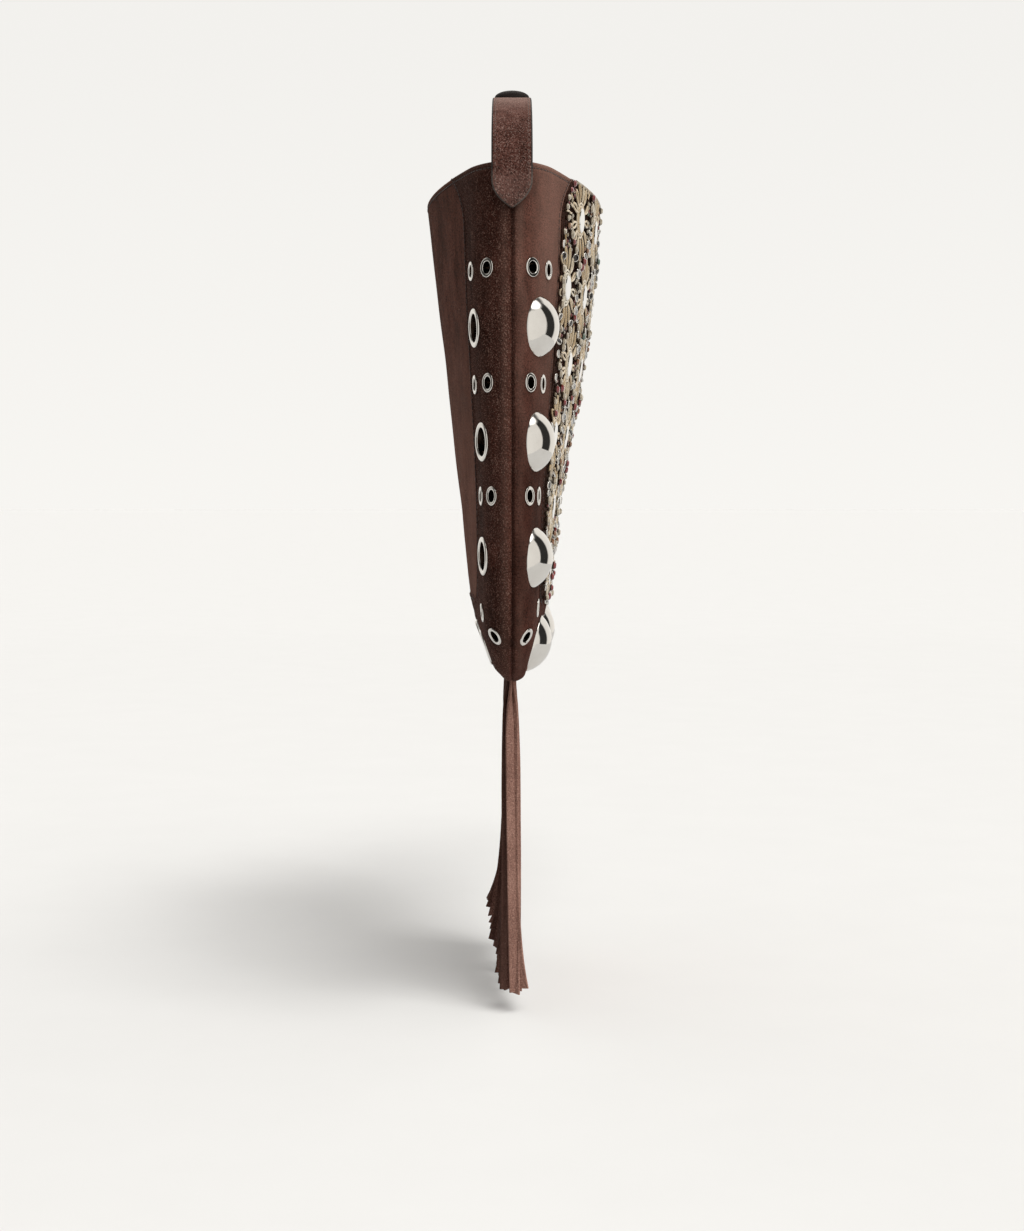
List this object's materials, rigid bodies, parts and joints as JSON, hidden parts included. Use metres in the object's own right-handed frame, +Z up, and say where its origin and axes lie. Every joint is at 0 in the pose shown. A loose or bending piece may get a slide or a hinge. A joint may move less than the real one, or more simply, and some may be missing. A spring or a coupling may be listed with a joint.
{
  "type": "fringe shoulder bag",
  "caption": "Wedge-shaped suede bag with a beaded mirror-work front, dome studs and eyelets round the border, a short arched strap and a long fringe along the bottom seam.",
  "frame": {"origin": "underside of the strap at its crown, where the bag hangs", "axes": "+Z up, +X along the width of the bag, the beaded front faces -Y"},
  "size_m": [0.3466, 0.0993, 0.4971],
  "materials": {
    "suede": "brown suede with a short nap",
    "embroidery": "champagne tube beads, crystals and seed beads on brown suede",
    "strap_suede": "brown suede, edges painted dark, stitched",
    "dark_leather": "near-black smooth leather",
    "fringe_suede": "brown suede strips, cut edges",
    "nickel": "polished nickel",
    "mirror_glass": "small round glass mirrors"
  },
  "bodies": {
    "root": {"front_border": "suede", "back_border": "suede", "front_panel": "embroidery", "back_panel": "suede", "strap": "strap_suede", "strap_grip": "dark_leather", "fringe": "fringe_suede", "dome_stud_01": "nickel", "dome_stud_02": "nickel", "dome_stud_03": "nickel", "dome_stud_04": "nickel", "dome_stud_05": "nickel", "dome_stud_06": "nickel", "dome_stud_07": "nickel", "dome_stud_08": "nickel", "dome_stud_09": "nickel", "dome_stud_10": "nickel", "large_eyelet_01": "nickel", "large_eyelet_02": "nickel", "large_eyelet_03": "nickel", "large_eyelet_04": "nickel", "large_eyelet_05": "nickel", "large_eyelet_06": "nickel", "large_eyelet_07": "nickel", "large_eyelet_08": "nickel", "large_eyelet_09": "nickel", "large_eyelet_10": "nickel", "mirror_01": "mirror_glass", "mirror_02": "mirror_glass", "mirror_03": "mirror_glass", "mirror_04": "mirror_glass", "mirror_05": "mirror_glass", "mirror_06": "mirror_glass", "mirror_07": "mirror_glass", "mirror_08": "mirror_glass", "mirror_09": "mirror_glass", "mirror_10": "mirror_glass", "mirror_11": "mirror_glass", "mirror_12": "mirror_glass", "mirror_13": "mirror_glass", "mirror_14": "mirror_glass", "mirror_15": "mirror_glass", "mirror_16": "mirror_glass", "mirror_17": "mirror_glass", "mirror_18": "mirror_glass", "mirror_19": "mirror_glass", "mirror_20": "mirror_glass", "mirror_21": "mirror_glass", "mirror_22": "mirror_glass", "mirror_23": "mirror_glass", "mirror_24": "mirror_glass", "mirror_25": "mirror_glass", "mirror_26": "mirror_glass", "mirror_27": "mirror_glass", "mirror_28": "mirror_glass", "mirror_29": "mirror_glass"}
  },
  "joints": []
}
